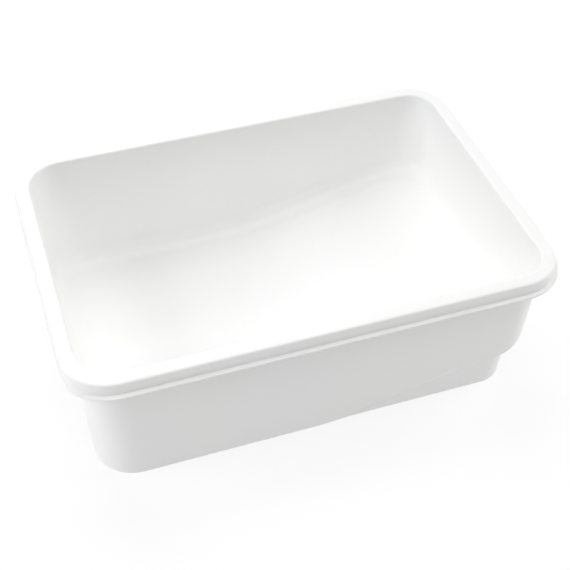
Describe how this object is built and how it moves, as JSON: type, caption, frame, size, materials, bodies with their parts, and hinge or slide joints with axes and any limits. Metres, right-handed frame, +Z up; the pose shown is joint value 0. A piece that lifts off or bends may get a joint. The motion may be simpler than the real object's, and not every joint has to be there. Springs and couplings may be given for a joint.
{
  "type": "developing tray",
  "caption": "Deep rectangular developing tray: open bath with a broad turned-down rim, a deep flat floor at one end, a ramp, and a raised floor carried by a foot skirt at the other end.",
  "frame": {"origin": "on the table plane, under the middle of the rim's outline", "axes": "+X along the tray towards its raised end, +Y across it, +Z up"},
  "size_m": [0.42, 0.293, 0.132],
  "materials": {
    "tray": "satin white moulded plastic"
  },
  "bodies": {
    "root": {"tray": "tray"}
  },
  "joints": []
}
